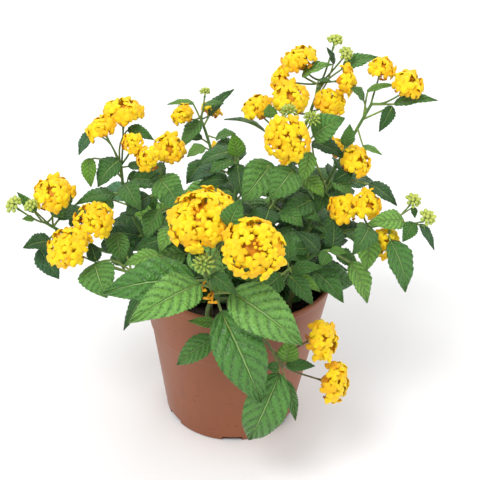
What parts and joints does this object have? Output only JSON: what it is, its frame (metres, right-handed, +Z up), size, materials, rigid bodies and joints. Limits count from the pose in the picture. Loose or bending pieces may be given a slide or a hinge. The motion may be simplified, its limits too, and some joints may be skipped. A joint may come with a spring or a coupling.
{
  "type": "potted lantana",
  "caption": "Yellow-flowered lantana in a thin terracotta-coloured plastic nursery pot, with toothed leaves and domed flower heads.",
  "frame": {"origin": "centre of the pot's underside, on the surface that it stands on", "axes": "+Z up, -Y towards the side of the plant that the picture shows, +X to its right"},
  "size_m": [0.2918, 0.2619, 0.2823],
  "materials": {
    "terracotta_plastic": "satin terracotta-coloured plastic",
    "potting_soil": "dark loose potting soil",
    "leaf_green": "rough, veined leaf with a slight sheen",
    "petal_yellow": "soft golden-yellow petal",
    "bud_green": "yellow-green closed buds"
  },
  "bodies": {
    "root": {"bloom_back": "petal_yellow", "bloom_back_left_far": "petal_yellow", "bloom_back_left_near": "petal_yellow", "bloom_back_right": "petal_yellow", "bloom_front_left": "petal_yellow", "bloom_front_right": "petal_yellow", "bloom_inner_left_high": "petal_yellow", "bloom_inner_left_low": "petal_yellow", "bloom_left_front": "petal_yellow", "bloom_left_high": "petal_yellow", "bloom_left_inner": "petal_yellow", "bloom_right_inner": "petal_yellow", "bloom_right_low": "petal_yellow", "bloom_right_middle_high": "petal_yellow", "bloom_right_middle_low": "petal_yellow", "bloom_right_top_far": "petal_yellow", "bloom_right_top_high": "petal_yellow", "bloom_top_centre": "petal_yellow", "bloom_top_left_high": "petal_yellow", "bloom_top_left_low": "petal_yellow", "bloom_top_left_small": "petal_yellow", "bloom_top_right_back": "petal_yellow", "bloom_top_right_high": "petal_yellow", "bloom_top_right_low": "petal_yellow", "bloom_top_right_mid": "petal_yellow", "bloom_top_right_side": "petal_yellow", "bloom_top_right_under": "petal_yellow", "bloom_trailing_high": "petal_yellow", "bloom_trailing_low": "petal_yellow", "buds_back_left": "bud_green", "buds_front": "bud_green", "buds_left_far": "bud_green", "buds_left_near": "bud_green", "buds_right_high": "bud_green", "buds_right_low": "bud_green", "buds_top_centre_left": "bud_green", "buds_top_centre_right": "bud_green", "buds_top_high": "bud_green", "buds_top_low": "bud_green", "leafy_stem_back": "leaf_green", "leafy_stem_back_far_left": "leaf_green", "leafy_stem_back_left": "leaf_green", "leafy_stem_back_right": "leaf_green", "leafy_stem_centre": "leaf_green", "leafy_stem_front": "leaf_green", "leafy_stem_front_low": "leaf_green", "leafy_stem_inner_left": "leaf_green", "leafy_stem_inner_right": "leaf_green", "leafy_stem_left": "leaf_green", "leafy_stem_left_front": "leaf_green", "leafy_stem_right": "leaf_green", "leafy_stem_right_low": "leaf_green", "leafy_stem_right_middle": "leaf_green", "leafy_stem_right_top": "leaf_green", "leafy_stem_top_centre": "leaf_green", "leafy_stem_top_left": "leaf_green", "leafy_stem_top_right": "leaf_green", "leafy_stem_trailing": "leaf_green", "pot": "terracotta_plastic", "soil": "potting_soil"}
  },
  "joints": []
}
